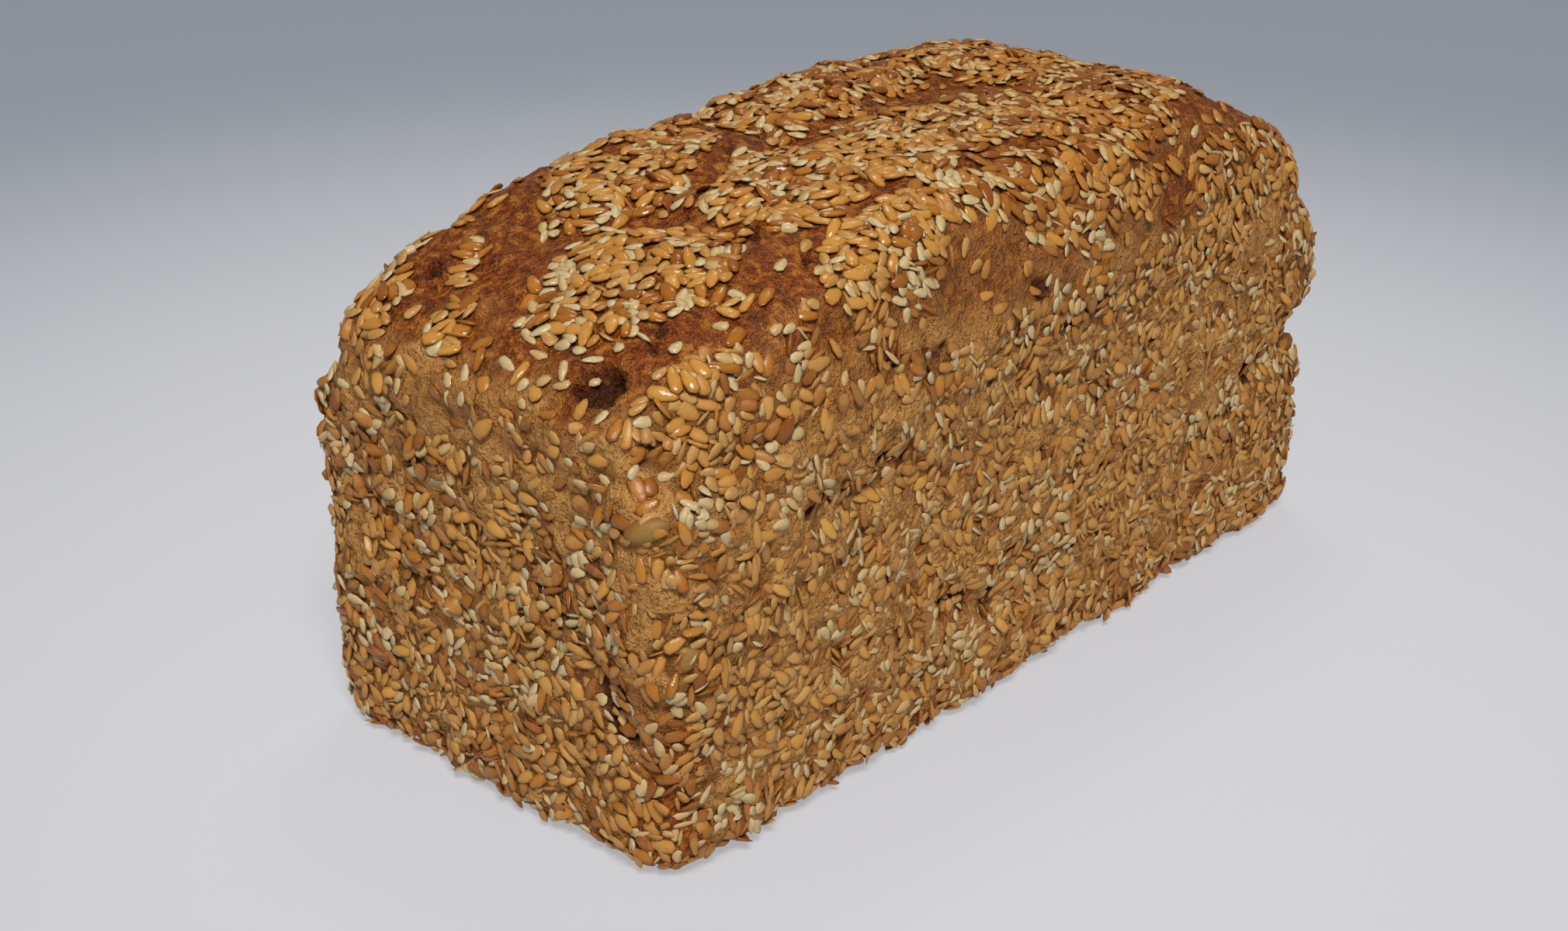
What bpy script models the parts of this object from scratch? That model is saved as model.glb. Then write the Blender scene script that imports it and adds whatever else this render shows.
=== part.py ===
"""A roasted grain bread: a tin loaf with a domed top, rolled in linseed and sesame.

The loaf lies along X. Its base is the plane Z = 0, with the origin in the middle of it. The near end
is at -X and the side that shows is at -Y. Units are metres.
"""

import math
import random

import bmesh
import bpy
from mathutils import Matrix, Vector, noise

MM = 0.001

# The loaf, measured over its seeds
LENGTH = 214 * MM
WIDTH = 97 * MM
HEIGHT = 106.5 * MM
SHOULDER = 80.5 * MM  # height of the walls, where the dome begins

# The crust lies this far inside the seeds' tops
SEED_STAND = 0.6 * MM

# Form of the crust
WALL_CORNER = 17.5  # superellipse exponent of the tin's corners
DOME_NEAR = 2.6  # the near end slopes gently
DOME_FAR = 5.1  # the far end is full
DOME_SIDE = 9.0  # the long sides stand up steeply
DOME_FULLNESS = 0.70
CORNERS_OPEN_FROM = 0.81  # share of the wall above which the dough leaves the tin's corners
WALL_DRAFT = 0.9 * MM  # the tin is this much narrower at its base, on each side
BASE_ROUND = 3.4 * MM

# The mesh that is shaped into the crust
CELL = 5.7 * MM
RIM_CROWDING = 1.6  # draws the dome's rings towards its steep rim
BASE_CROWDING = 1.3  # draws the walls' rings towards the rounded edge of the base

# Unevenness of the dough
LUMP_HEIGHT = 1.3 * MM
LUMP_SIZE = 30 * MM
DIMPLE_HEIGHT = 0.5 * MM
DIMPLE_SIZE = 11 * MM

# Folds where the dough didn't close: start, end, half width, depth
FOLDS = (
    ((100, -46, 45), (104, -36, 46), 5.4, 6.6),  # notch in the far corner
    ((78, -48, 41), (100, -47, 45), 3.5, 2.0),  # runs from it along the side
    ((-108, -26, 41), (-107, -43, 22), 3.6, 2.4),  # slanting fold beside the near corner
    ((-32, -48, 27), (-14, -48, 19), 3.2, 1.8),  # low fold in the side
    ((-72, -48, 59), (-44, -48, 58), 3.2, 1.3),  # upper fold in the side
)

# Rounded swellings: centre, radius, height
SWELLINGS = (
    ((100, -44, 56), 12, 1.0),  # lump above the far notch
    ((104, -40, 18), 18, 1.6),  # and below it
    ((-106, -44, 34), 11, 1.2),  # lump on the near corner
    ((-105, 42, 34), 20, 0.9),  # fuller back corner of the near end
    ((-92, 34, 92), 16, 1.2),
    ((-65, -47, 8), 25, 0.7),  # the side swells a little along its base
    ((14, -47, 8), 25, 0.6),
    ((84, -46, 8), 22, 0.7),
    ((80, 8, 100), 18, 1.3),  # the far end of the dome
    ((-76, -13, 101), 20, 1.2),  # the seeded islands of the top
    ((-50, 17, 104), 19, 1.3),
    ((-30, -17, 104), 19, 1.2),
    ((10, -18, 105), 20, 1.2),
    ((12, 24, 105), 18, 1.2),
    ((62, -20, 105), 20, 1.3),
    ((62, 14, 105), 18, 1.2),
)

# Valleys of bare crust across the top, where the rising dough tore the seeds apart:
# start, end, half width, depth
VALLEYS = (
    ((-95, 22), (-62, 3), 6, 1.1),
    ((-62, 3), (-56, -36), 6, 1.2),
    ((-62, 3), (-20, 4), 5, 1.2),
    ((-20, 4), (46, 12), 6, 1.8),
    ((-20, 4), (-14, 34), 5, 1.2),
    ((46, 12), (36, -34), 5, 1.0),
    ((-92, -33), (-20, -36), 5, 0.8),
    ((84, -30), (88, 34), 5, 1.5),
)

# Seeds
LINSEED = (4.7 * MM, 2.5 * MM, 1.7 * MM)
SESAME = (3.1 * MM, 2.0 * MM, 1.5 * MM)
LINSEEDS = 116
SESAMES = 62
SEED_RINGS = 4
SEED_SIDES = 6
SEED_TIP = 0.38  # how far the pointed end narrows
SEED_SPACING = 8.2 * MM
SEED_SINK = 0.25 * MM  # the seeds' middles lie this far under the crust
SEED_TILT = 9.0  # degrees, at most
BARE_BELOW = 4.5 * MM  # the resting face stays clear of seeds
MOST_BARE = 0.4  # no seed lies deeper than this share of a fold or valley
SEED_DRAWS = 6000
RANDOM_SEED = 11

CRUST_COLOUR = (0.36, 0.18, 0.07, 1.0)


def superellipse_reach(u, v, power_x, power_y):
    """How far the direction (u, v) goes before |x|^power_x + |y|^power_y reaches 1."""
    low, high = 0.3, 1.0
    for _ in range(24):
        reach = (low + high) / 2
        if abs(reach * u) ** power_x + abs(reach * v) ** power_y > 1:
            high = reach
        else:
            low = reach
    return low


def blend_powers(share, wall, dome):
    """An exponent between the wall's and the dome's, eased, so that the corner opens smoothly."""
    eased = share * share * (3 - 2 * share)
    return 1 / ((1 - eased) / wall + eased / dome)


def wall_point(u, v, w):
    """A point of the walls: w runs from -1 at the base to 1 at the shoulder."""
    height = ((w + 1) / 2) ** BASE_CROWDING
    opened = max(0.0, (height - CORNERS_OPEN_FROM) / (1 - CORNERS_OPEN_FROM))
    power_x = blend_powers(opened, WALL_CORNER, DOME_NEAR if u < 0 else DOME_FAR)
    power_y = blend_powers(opened, WALL_CORNER, DOME_SIDE)
    reach = superellipse_reach(u, v, power_x, power_y)
    z = height * SHOULDER
    below = max(0.0, BASE_ROUND - z)
    inset = WALL_DRAFT * (1 - height) + BASE_ROUND - math.sqrt(BASE_ROUND**2 - below**2)
    return Vector((u * reach * (LENGTH / 2 - inset), v * reach * (WIDTH / 2 - inset), z))


def base_point(u, v):
    """A point of the flat base, inside the lowest ring of the walls."""
    ring = max(abs(u), abs(v), 1e-6)
    rim = wall_point(u / ring, v / ring, -1)
    return Vector((rim.x * ring, rim.y * ring, 0))


def dome_point(u, v):
    """A point of the domed top."""
    ring = max(abs(u), abs(v), 1e-6)
    power_x = DOME_NEAR if u < 0 else DOME_FAR
    reach = superellipse_reach(u / ring, v / ring, power_x, DOME_SIDE)
    crowded = 1 - (1 - ring) ** RIM_CROWDING
    x, y = u / ring * reach * crowded, v / ring * reach * crowded
    filled = min(1.0, abs(x) ** power_x + abs(y) ** DOME_SIDE)
    z = SHOULDER + (HEIGHT - SHOULDER) * (1 - filled) ** DOME_FULLNESS
    return Vector((x * LENGTH / 2, y * WIDTH / 2, z))


def distance_to_segment(point, start, end):
    """Distance from a point to the straight line between two others."""
    run = end - start
    share = max(0.0, min(1.0, (point - start).dot(run) / run.length_squared))
    return (point - start - run * share).length


def hollow(distance, half_width):
    """1 in the middle of a groove, falling smoothly to 0."""
    return math.exp(-((distance / half_width) ** 2))


def bareness(point):
    """How deep in a fold or in the top's bare valleys a point lies, from 0 to 1."""
    shares = [0.0]
    for start, end, half, _ in FOLDS:
        distance = distance_to_segment(point, Vector(start) * MM, Vector(end) * MM)
        shares.append(hollow(distance, half * MM))
    if point.z > SHOULDER:
        flat = Vector((point.x, point.y))
        for start, end, half, _ in VALLEYS:
            distance = distance_to_segment(flat, Vector(start) * MM, Vector(end) * MM)
            shares.append(hollow(distance, half * MM))
    return max(shares)


def relief(point):
    """Height of the crust's unevenness at a point, outwards."""
    rise = LUMP_HEIGHT * noise.noise(point / LUMP_SIZE)
    rise += DIMPLE_HEIGHT * noise.noise(point / DIMPLE_SIZE)
    for start, end, half, depth in FOLDS:
        distance = distance_to_segment(point, Vector(start) * MM, Vector(end) * MM)
        rise -= depth * MM * hollow(distance, half * MM)
    for centre, radius, height in SWELLINGS:
        rise += height * MM * hollow((point - Vector(centre) * MM).length, radius * MM)
    if point.z > SHOULDER:
        flat = Vector((point.x, point.y))
        for start, end, half, depth in VALLEYS:
            distance = distance_to_segment(flat, Vector(start) * MM, Vector(end) * MM)
            rise -= depth * MM * hollow(distance, half * MM)
    return rise - SEED_STAND


def slice_evenly(mesh, axis, count):
    """Cuts the cube into equal slices across one axis."""
    normal = Vector((0, 0, 0))
    normal[axis] = 1
    for step in range(1, count):
        place = normal * (2 * step / count - 1)
        geometry = mesh.verts[:] + mesh.edges[:] + mesh.faces[:]
        bmesh.ops.bisect_plane(mesh, geom=geometry, plane_co=place, plane_no=normal)


def make_crust(collection):
    """The loaf's crust: a sliced cube, shaped by the functions above and flat underneath."""
    shape = bmesh.new()
    bmesh.ops.create_cube(shape, size=2)
    for axis, size in enumerate((LENGTH, WIDTH, SHOULDER)):
        slice_evenly(shape, axis, round(size / CELL))
    on_base = set()
    for vert in shape.verts:
        u, v, w = vert.co
        if w < -0.999:
            on_base.add(vert)
            vert.co = base_point(u, v)
        elif w > 0.999:
            vert.co = dome_point(u, v)
        else:
            vert.co = wall_point(u, v, w)
    shape.normal_update()
    moves = {vert: vert.normal * relief(vert.co) for vert in shape.verts if vert not in on_base}
    for vert, move in moves.items():
        vert.co += move
    base_faces = [face for face in shape.faces if all(vert in on_base for vert in face.verts)]
    bmesh.ops.dissolve_faces(shape, faces=base_faces)
    mesh = bpy.data.meshes.new("loaf")
    shape.to_mesh(mesh)
    shape.free()
    loaf = bpy.data.objects.new("loaf", mesh)
    collection.objects.link(loaf)
    return loaf


def seed_mesh(name, size):
    """One seed: a low sphere, flattened, with its +X end drawn to a point."""
    shape = bmesh.new()
    turned = Matrix.Rotation(math.pi / SEED_SIDES, 3, "Z")
    bmesh.ops.create_uvsphere(shape, u_segments=SEED_SIDES, v_segments=SEED_RINGS, radius=0.5)
    for vert in shape.verts:
        place = turned @ vert.co
        width = 1 - SEED_TIP * max(0.0, 2 * place.x)
        vert.co = Vector((place.x * size[0], place.y * size[1] * width, place.z * size[2]))
    mesh = bpy.data.meshes.new(name)
    shape.to_mesh(mesh)
    shape.free()
    return mesh


def places_for_seeds(loaf, rng):
    """Points and normals spread evenly over the seeded crust, drawn at random with a least spacing."""
    mesh = loaf.data
    mesh.calc_loop_triangles()
    corners = [[mesh.vertices[i].co for i in tri.vertices] for tri in mesh.loop_triangles]
    areas = [tri.area for tri in mesh.loop_triangles]
    found = []
    for index in rng.choices(range(len(corners)), weights=areas, k=SEED_DRAWS):
        a, b, c = corners[index]
        s, t = sorted((rng.random(), rng.random()))
        point = a * s + b * (t - s) + c * (1 - t)
        normal = mesh.loop_triangles[index].normal.copy()
        if point.z < BARE_BELOW or bareness(point) > MOST_BARE:
            continue
        if all((point - other).length > SEED_SPACING for other, _ in found):
            found.append((point, normal))
        if len(found) == LINSEEDS + SESAMES:
            break
    return found


def scatter_seeds(loaf, collection):
    """Places the linseeds first and then the sesame, half sunk in the crust, each turned its own way."""
    rng = random.Random(RANDOM_SEED)
    linseed, sesame = seed_mesh("linseed", LINSEED), seed_mesh("sesame", SESAME)
    for number, (point, normal) in enumerate(places_for_seeds(loaf, rng)):
        upright = normal.to_track_quat("Z", "Y").to_matrix()
        turn = Matrix.Rotation(rng.uniform(0, math.tau), 3, "Z")
        tilt = Matrix.Rotation(math.radians(rng.uniform(-SEED_TILT, SEED_TILT)), 3, "Y")
        mesh = linseed if number < LINSEEDS else sesame
        seed = bpy.data.objects.new(f"seed_{number}", mesh)
        place = Matrix.Translation(point - normal * SEED_SINK)
        seed.matrix_world = place @ (upright @ turn @ tilt).to_4x4()
        collection.objects.link(seed)


def fuse_seeds(loaf, collection):
    """Joins the seeds to the crust with one Boolean union, then removes them."""
    union = loaf.modifiers.new("fuse seeds", "BOOLEAN")
    union.operation = "UNION"
    union.operand_type = "COLLECTION"
    union.collection = collection
    union.solver = "MANIFOLD"
    bpy.context.view_layer.objects.active = loaf
    bpy.ops.object.modifier_apply(modifier=union.name)
    for seed in list(collection.objects):
        bpy.data.objects.remove(seed)
    bpy.data.collections.remove(collection)
    shape = bmesh.new()
    shape.from_mesh(loaf.data)
    bmesh.ops.triangulate(shape, faces=shape.faces[:])
    shape.to_mesh(loaf.data)
    shape.free()


def fit_to_size(loaf):
    """Brings the loaf's box to its measured size, with the middle of its base on the origin."""
    corners = [Vector(corner) for corner in loaf.bound_box]
    low = Vector([min(corner[axis] for corner in corners) for axis in range(3)])
    high = Vector([max(corner[axis] for corner in corners) for axis in range(3)])
    size = high - low
    middle = Vector(((low.x + high.x) / 2, (low.y + high.y) / 2, low.z))
    stretch = Matrix.Diagonal((LENGTH / size.x, WIDTH / size.y, HEIGHT / size.z, 1))
    loaf.data.transform(stretch @ Matrix.Translation(-middle))


def crust_material():
    """Baked crust: brown, dull, not metallic."""
    material = bpy.data.materials.new("crust")
    material.use_nodes = True
    shader = material.node_tree.nodes["Principled BSDF"]
    shader.inputs["Base Color"].default_value = CRUST_COLOUR
    shader.inputs["Roughness"].default_value = 0.65
    shader.inputs["Metallic"].default_value = 0.0
    return material


def main():
    for old in list(bpy.data.objects):
        bpy.data.objects.remove(old)
    bread = bpy.data.collections.new("roasted grain bread")
    seeds = bpy.data.collections.new("seeds to fuse")
    bpy.context.scene.collection.children.link(bread)
    bpy.context.scene.collection.children.link(seeds)
    loaf = make_crust(bread)
    scatter_seeds(loaf, seeds)
    fuse_seeds(loaf, seeds)
    fit_to_size(loaf)
    loaf.data.materials.clear()
    loaf.data.materials.append(crust_material())


main()
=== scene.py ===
"""Roasted grain bread: the looks of a tin loaf rolled in linseed and sesame.

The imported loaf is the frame. The crust repeats its form on a mesh fine enough for blisters and
grain. Seeds lie on it as on the real one: dense and pressed flat where the tin's walls stood, and
in glossy islands on the domed top, with bare dark crust between them. The loaf lies along X. Its
near end is at -X and the side that shows is at -Y. Metres.
"""

import math

import bpy
import numpy as np
from bpy.props import FloatProperty, FloatVectorProperty, IntProperty, PointerProperty
from bpy.types import Operator, Panel, PropertyGroup
from mathutils import Matrix, Vector, noise


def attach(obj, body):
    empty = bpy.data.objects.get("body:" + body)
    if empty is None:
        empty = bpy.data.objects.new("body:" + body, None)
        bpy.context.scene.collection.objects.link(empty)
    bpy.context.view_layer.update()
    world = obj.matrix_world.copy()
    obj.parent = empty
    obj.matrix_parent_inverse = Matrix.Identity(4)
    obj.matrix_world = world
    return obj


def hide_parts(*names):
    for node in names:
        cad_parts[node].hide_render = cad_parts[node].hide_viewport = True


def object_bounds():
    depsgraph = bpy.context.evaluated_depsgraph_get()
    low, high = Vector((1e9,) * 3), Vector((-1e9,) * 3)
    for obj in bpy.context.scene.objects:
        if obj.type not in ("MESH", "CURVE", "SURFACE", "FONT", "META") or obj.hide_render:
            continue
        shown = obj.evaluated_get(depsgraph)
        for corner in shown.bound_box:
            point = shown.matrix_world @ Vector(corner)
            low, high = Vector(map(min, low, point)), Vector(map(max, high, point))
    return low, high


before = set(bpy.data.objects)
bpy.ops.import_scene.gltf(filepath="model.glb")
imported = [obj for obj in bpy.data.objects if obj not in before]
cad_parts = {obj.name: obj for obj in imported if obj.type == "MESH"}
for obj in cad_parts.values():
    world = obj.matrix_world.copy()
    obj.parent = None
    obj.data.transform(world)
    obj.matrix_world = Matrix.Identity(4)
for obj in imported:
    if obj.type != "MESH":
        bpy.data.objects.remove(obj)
PACKED_LOW, PACKED_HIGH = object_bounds()

bl_info = {
    "name": "Roasted Grain Bread",
    "version": (1, 0, 0),
    "blender": (4, 5, 0),
    "location": "View3D > Sidebar > Bread",
    "description": "Bakes a seeded tin loaf round its packed solid",
    "category": "Add Mesh",
}

MM = 0.001

# The loaf's form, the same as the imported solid's

LENGTH = 214 * MM
WIDTH = 97 * MM
HEIGHT = 106.5 * MM
SHOULDER = 80.5 * MM  # height of the walls, where the dome begins

WALL_CORNER = 17.5  # superellipse exponent of the tin's corners
DOME_NEAR = 2.6  # the near end slopes gently
DOME_FAR = 5.1  # the far end is full
DOME_SIDE = 9.0  # the long sides stand up steeply
DOME_FULLNESS = 0.70
CORNERS_OPEN_FROM = 0.81  # share of the wall above which the dough leaves the tin's corners
WALL_DRAFT = 0.9 * MM  # the tin is this much narrower at its base, on each side
BASE_ROUND = 3.4 * MM
LEAST_REACH = 0.3  # the form's corners are found by halving from here, this often
HALVINGS = 24
RIM_CROWDING = 1.6  # draws the dome's rings towards its steep rim
BASE_CROWDING = 1.15  # draws the walls' rings towards the rounded edge of the base

# Unevenness: height and size of one lump, and a shift that makes the noise its own.
# Here and below, a pair named FROM says where something starts and where it is full
LUMPS = ((1.3 * MM, 30 * MM), (0.5 * MM, 11 * MM))
NODULES = ((1.3 * MM, 7 * MM, 2.7),)
DOUGH_SWELL = 0.5 * MM  # bare dough on the walls swells out between the seeds
COARSE_SLICES = 12  # the cube is cut this often along each axis, and then each slice again
ON_FACE = 0.999  # a point of the cube this far out lies on its face
MOSTLY = 0.9  # an edge or a face that points one way by more than this counts as doing so
CRACK_WANDER = 5 * MM
CRACK_DEEPER = 1.3
CRACK_UNEVEN = ((2, 3 * MM, 7.7),)
BLISTER_DEEPER = 1.4
BLISTER_RAGGED = ((0.35, 2.5 * MM, 6.1),)
BLISTER_FROM = (1.1, 0.85)  # as shares of its size
BLISTER_SEEDS_FROM = (1.1, 1.8)
BLISTER_LIP = (0.45, 1.25, 0.18)  # the lip's height in mm, its place and its width
CRUMB = ((0.55 * MM, 4.2 * MM, 6.4), (0.35 * MM, 1.9 * MM, 6.4))
DOUGH_CRUMB = 1.9  # how much rougher than the top the dough on the walls is

# Folds where the dough didn't close, in mm: start, end, half width, depth
FOLDS = (
    ((100, -46, 45), (104, -36, 46), 5.4, 6.6),  # notch in the far corner
    ((78, -48, 41), (100, -47, 45), 3.5, 2.0),  # runs from it along the side
    ((-108, -26, 41), (-107, -43, 22), 3.6, 2.4),  # slanting fold beside the near corner
    ((-32, -48, 27), (-14, -48, 19), 3.2, 1.8),  # low fold in the side
    ((-72, -48, 59), (-44, -48, 58), 3.2, 1.3),  # upper fold in the side
)

# Narrow cracks and pits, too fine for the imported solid
CRACKS = (
    ((-108, -16, 50), (-107, -27, 39), 1.2, 2.0),
    ((-107, -27, 39), (-107, -40, 24), 1.7, 2.6),
    ((-44, -49, 29), (-18, -49, 21), 1.3, 2.6),
    ((-73, -49, 61), (-50, -49, 63), 1.3, 1.9),
    ((-10, -49, 49.5), (-2, -49, 49), 1.2, 1.8),
    ((60, -49, 34), (71, -49, 35), 1.4, 1.8),
    ((0, -49, 73), (8, -49, 74), 1.4, 1.4),
    ((76, -49, 40), (81, -49, 40), 1.8, 4.0),
    ((-110, 28, 45), (-110, 24, 44), 2.0, 2.4),
    ((-110, 21, 40), (-110, 19, 41), 1.6, 1.8),
    ((-110, 29, 37), (-110, 26, 37), 1.6, 2.0),
    ((-110, 20, 57), (-110, 14, 56), 1.4, 1.6),
    ((-104, -36, 78), (-104, -24, 77), 1.2, 1.6),
    ((-48, -47, 80), (-38, -48, 82), 1.4, 1.8),
    ((-12, -48, 80), (4, -48, 83), 1.5, 1.6),
    ((-4, -48, 84), (-3, -48, 83), 1.6, 1.6),
    ((8, -48, 79), (14, -48, 80), 1.4, 1.2),
)

# Rounded swellings: centre, radius, height
SWELLINGS = (
    ((100, -44, 56), 12, 1.0),  # lump above the far notch
    ((104, -40, 18), 18, 1.6),  # and below it
    ((-106, -44, 34), 11, 1.2),  # lump on the near corner
    ((-105, 42, 34), 20, 0.9),  # fuller back corner of the near end
    ((-92, 34, 92), 16, 1.2),
    ((-65, -47, 8), 25, 0.7),  # the side swells a little along its base
    ((14, -47, 8), 25, 0.6),
    ((84, -46, 8), 22, 0.7),
    ((80, 8, 100), 18, 1.3),  # the far end of the dome
    ((-76, -13, 101), 20, 1.2),  # the seeded islands of the top
    ((-50, 17, 104), 19, 1.3),
    ((-30, -17, 104), 19, 1.2),
    ((10, -18, 105), 20, 1.2),
    ((12, 24, 105), 18, 1.2),
    ((62, -20, 105), 20, 1.3),
    ((62, 14, 105), 18, 1.2),
)

# Valleys of bare crust across the top, where the rising dough tore the seeds apart:
# start, end, half width, depth
VALLEYS = (
    ((-95, 22), (-62, 3), 6, 1.1),
    ((-62, 3), (-56, -36), 6, 1.2),
    ((-62, 3), (-20, 4), 5, 1.2),
    ((-20, 4), (46, 12), 6, 1.8),
    ((-20, 4), (-14, 34), 5, 1.2),
    ((46, 12), (36, -34), 5, 1.0),
    ((-92, -33), (-20, -36), 5, 0.8),
    ((84, -30), (88, 34), 5, 1.5),
)

# Burst blisters in the top's crust: x, y, half length, half width, turn in degrees, depth
BLISTERS = (
    (-100.6, -26.3, 4.4, 3.2, -67, 3.2),
    (-91, -29, 1.3, 1.0, 20, 1.8),
    (-88, -28, 1.0, 0.8, 0, 1.4),
    (-60.5, -4.5, 2.8, 1.6, 10, 2.6),
    (-58.5, -21.5, 2.9, 2.0, 60, 2.6),
    (-91.5, 26.5, 2.2, 1.4, 20, 2.2),
    (-10.5, -34, 1.8, 1.3, 0, 1.8),
    (-57.5, -34.5, 1.4, 1.2, 0, 1.6),
    (-66, 22, 1.6, 1.2, 40, 1.6),
    (-17, 13, 2.4, 1.3, 80, 2.0),
    (24, 7, 4.2, 1.8, 20, 2.4),
    (-30, 10, 3.2, 1.6, 50, 1.8),
    (8, -9, 2.2, 1.5, 30, 1.6),
    (51, -33, 2.6, 1.6, 20, 1.8),
    (42, 19, 3.4, 1.6, 40, 2.0),
    (96, -18, 3.6, 2.0, 0, 2.2),
)

# Islands of seeds on the top: x, y, half length, half width, turn in degrees
ISLANDS = (
    (-79, -13, 18, 15.5, -8),
    (-79, 3, 5, 3, 0),
    (-56, 15, 15, 12, 25),
    (-70, 15, 6, 3, 0),
    (-53, 5, 5, 6, 0),
    (-55, 30, 7, 3, 30),
    (-44, -15, 14, 13, -12),
    (-31, 3, 6, 4, 0),
    (-36, 20, 9, 7, 20),
    (-17, -15, 15, 16, 0),
    (0, -14, 16, 15, 0),
    (-16, 7, 7, 3, 20),
    (-11, 20, 9, 10, 30),
    (3, 17, 9, 9, 20),
    (0, 3, 9, 4, 10),
    (-30, 33, 12, 4, 0),
    (28, -18, 22, 17, 0),
    (25, 26, 20, 14, 0),
    (50, 8, 6, 9, 0),
    (58, 24, 14, 14, 0),
    (60, -14, 16, 19, 0),
    (78, 10, 17, 22, 0),
    (88, -12, 12, 18, 0),
    (98, 4, 7, 28, 0),
    (-100.3, 11.5, 5.5, 4, 52),
    (-91, 20, 4, 2, 30),
    (-84, 24, 2.5, 2, 60),
    (-100, 33, 10, 6, 43),
)

# Islands on the long shoulders. The first value is x, and the second how far out and down the
# shoulder they lie, as width from the middle and height from the top added together
SHOULDER_ISLANDS = (
    (-91, 59.5, 12, 8, 0),
    (-87, 73, 14, 7, 0),
    (-70, 62, 4, 7, 0),
    (-78, 43, 2.5, 2, 0),
    (-46, 49, 15, 12, -8),
    (-53, 65, 4, 11, 0),
    (-42, 62, 3, 4, 0),
    (-34, 38, 24, 8, 0),
    (7, 56, 14, 8, 0),
    (3, 42, 26, 9, 0),
    (28, 56, 10, 7, 0),
    (30, 40, 14, 9, 0),
    (14, 68, 3, 3, 0),
    (63, 62, 14, 12, 0),
    (92, 60, 13, 11, 0),
    (46, 38, 8, 8, 0),
    (72, 70, 8, 5, 0),
)
SHOULDER_FROM = 33  # width from the middle past which the shoulder's islands count

# Bare crust and dough on the walls: centre, radii, how bare
BARE_PATCHES = (
    ((-106, 4, 76), (6, 7, 5), 0.9),
    ((-107, -7, 75), (6, 6, 4), 0.9),
    ((-106, -2, 61), (5, 3, 6), 0.85),
    ((-106, -23, 68), (5, 4, 8), 0.85),
    ((-106, -24, 60), (5, 3, 3), 0.7),
    ((-103, -39, 72), (7, 6, 5), 0.85),
    ((-106, -36, 61), (5, 4, 3), 0.8),
    ((-104, -42, 56), (7, 9, 3.5), 0.9),
    ((-106, -41, 48), (5, 3, 5), 0.8),
    ((-106, -42, 37), (6, 6, 6), 0.95),
    ((-104, -40, 25), (6, 5, 4), 0.9),
    ((-106, 34, 41), (6, 4, 10), 0.7),
    ((-106, 24, 55), (5, 5, 5), 0.7),
    ((-106, 11, 31), (5, 4, 3.5), 0.8),
    ((-105, -12, 53), (5, 4, 3.5), 0.7),
    ((-107, 13, 75), (8, 6, 5), 0.9),
    ((-104, 31, 76), (9, 9, 6), 0.85),
    ((-107, -20, 79), (8, 8, 4), 0.7),
    ((-103, -42, 8), (6, 6, 6), 0.35),
    ((-93, -46, 16), (7, 5, 7), 0.7),
    ((-71, -46, 75), (9, 6, 5), 0.85),
    ((-62, -47, 77), (17, 6, 4), 0.7),
    ((-28, -48, 80), (10, 6, 4), 0.8),
    ((-48, -48, 74), (7, 5, 4), 0.85),
    ((-74, -47, 60), (5, 5, 6), 0.85),
    ((-85, -47, 62), (6, 5, 4), 0.8),
    ((-89, -47, 52), (4, 4, 2.5), 0.8),
    ((-26, -47, 47), (8, 4, 7), 0.6),
    ((-30, -47, 37), (7, 4, 4), 0.6),
    ((-54, -47, 22), (6, 4, 5), 0.8),
    ((-53, -47, 31), (3, 4, 3), 0.8),
    ((-64, -47, 34), (5, 4, 5), 0.5),
    ((-8, -47, 52), (6, 4, 3.5), 0.8),
    ((21, -47, 42), (8, 4, 4), 0.8),
    ((58, -47, 42), (7, 4, 6), 0.7),
    ((82, -46, 75), (12, 6, 8), 0.85),
    ((94, -46, 56), (5, 5, 5), 0.8),
)

# Browner patches of the walls, where the crust has caught: centre, radii, how brown
BROWNED = (
    ((-102, -45, 24), (5, 5, 9), 0.9),
    ((-89, -47, 53), (4, 4, 3), 0.6),
    ((-106, -47, 4), (9, 9, 11), 1.0),
    ((-107, 5, 3), (5, 34, 5), 0.4),
    ((0, -48, 2), (100, 5, 5), 0.35),
    ((-22, -44, 93), (20, 7, 9), 0.45),
    ((-62, -46, 81), (18, 6, 9), 0.5),
    ((42, -45, 92), (14, 6, 8), 0.8),
    ((-105, -45, 14), (8, 8, 10), 0.95),
    ((-107, 12, 32), (7, 12, 4), 0.45),
    ((-30, -48, 27), (14, 5, 6), 0.35),
    ((98, -40, 92), (14, 12, 10), 0.7),
    ((-105, 8, 79), (8, 44, 8), 0.4),
)

BARE_FROM = (1.15, 0.7)  # as shares of the patch's size
BROWNED_FROM = (1.3, 0.5)
BAKED_UNEVEN = ((0.5, 14 * MM, 5.3), (0.25, 5 * MM, 2.1))
BAKED_RAGGED = 14 * MM  # how far that moves the height from which the crust is baked
BAKED_STEPS = ((0.6, 77, 85), (0.4, 83, 93))  # the crust darkens in two steps between two heights
SIDE_PALER = 0.36  # how much less the long shoulders are baked
SIDE_PALER_FROM = (36 * MM, 43 * MM)
LOW_FROM = (0.1 * MM, -0.6 * MM)  # the crumb's low places take painted shade
SUNK_FROM = (0.4 * MM, 2.0 * MM)  # and its hollows, cracks and folds a darker painted shade
NOTCH_SHADE = 0.25  # share of its depth that sets the painted shade in the far corner's notch
FOLD_SHADE = 0.4  # and the other folds
GLOSSY = ((-104, -43, 60), (12, 14, 40))  # the near corner's seeds shine: centre, radii
GLOSSY_FROM = (1.2, 0.5)

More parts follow.
